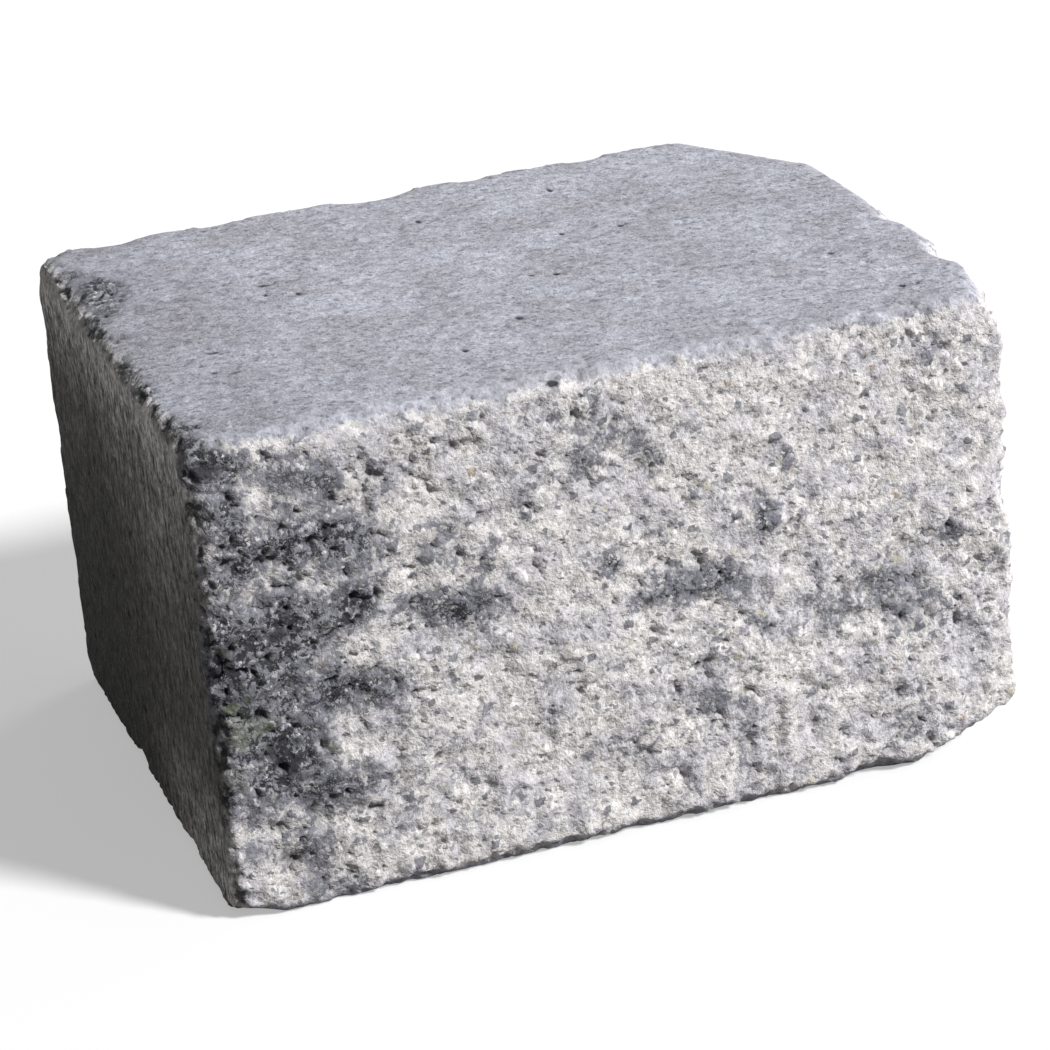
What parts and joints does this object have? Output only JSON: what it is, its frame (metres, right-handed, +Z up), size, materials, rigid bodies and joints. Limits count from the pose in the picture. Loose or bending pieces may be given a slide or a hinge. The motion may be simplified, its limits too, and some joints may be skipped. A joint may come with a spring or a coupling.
{
  "type": "garden wall block",
  "caption": "Tumbled concrete block for dry or mortared garden walls, with flat moulded beds, one moulded end and rough split faces.",
  "frame": {"origin": "centre of the bounding box, on the plane of the bottom bed", "axes": "+X along the length from the moulded end to the split end, +Y from the split front to the split back, +Z up from bed to bed"},
  "size_m": [0.2588, 0.2, 0.15],
  "materials": {
    "concrete": "rough split concrete, smoother moulded beds"
  },
  "bodies": {
    "root": {"wall_block": "concrete"}
  },
  "joints": []
}
